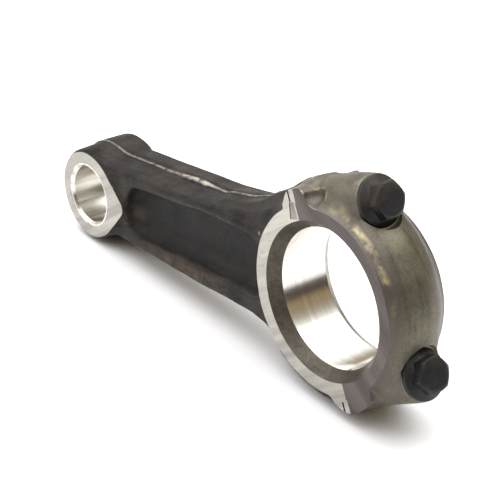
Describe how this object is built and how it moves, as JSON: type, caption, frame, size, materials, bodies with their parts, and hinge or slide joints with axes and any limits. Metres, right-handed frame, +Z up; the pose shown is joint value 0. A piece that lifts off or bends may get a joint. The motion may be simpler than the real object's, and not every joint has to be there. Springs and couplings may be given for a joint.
{
  "type": "connecting rod",
  "caption": "Forged steel connecting rod with an I-section shank, a bushed small end and an obliquely split big end whose stepped cap is held by flanged hexagon bolts.",
  "frame": {"origin": "centre of the big-end bore, half way through the rod's width", "axes": "+X along the rod from the small end to the cap, +Y along both bores, +Z up across the rod with the small end, shank and big end standing on edge"},
  "size_m": [0.2513, 0.033, 0.1079],
  "materials": {
    "forged_steel": "blasted forging skin with bright ground side faces and honed bore",
    "cap_steel": "polished forging skin with machined joint and seats",
    "bolt_black": "black oxide",
    "bush_metal": "fine bored"
  },
  "bodies": {
    "rod": {"rod_forging": "forged_steel", "small_end_bush": "bush_metal"},
    "cap": {"bearing_cap": "cap_steel"},
    "upper_bolt": {"upper_cap_bolt": "bolt_black"},
    "lower_bolt": {"lower_cap_bolt": "bolt_black"}
  },
  "joints": [
    {"name": "cap_slide", "type": "slide", "parent": "rod", "child": "cap", "axis": [0.9381, 0, 0.3463], "range_m": [0, 0.045]},
    {"name": "upper_bolt_slide", "type": "slide", "parent": "cap", "child": "upper_bolt", "axis": [0.9381, 0, 0.3463], "range_m": [0, 0.06]},
    {"name": "lower_bolt_slide", "type": "slide", "parent": "cap", "child": "lower_bolt", "axis": [0.9381, 0, 0.3463], "range_m": [0, 0.06]}
  ]
}
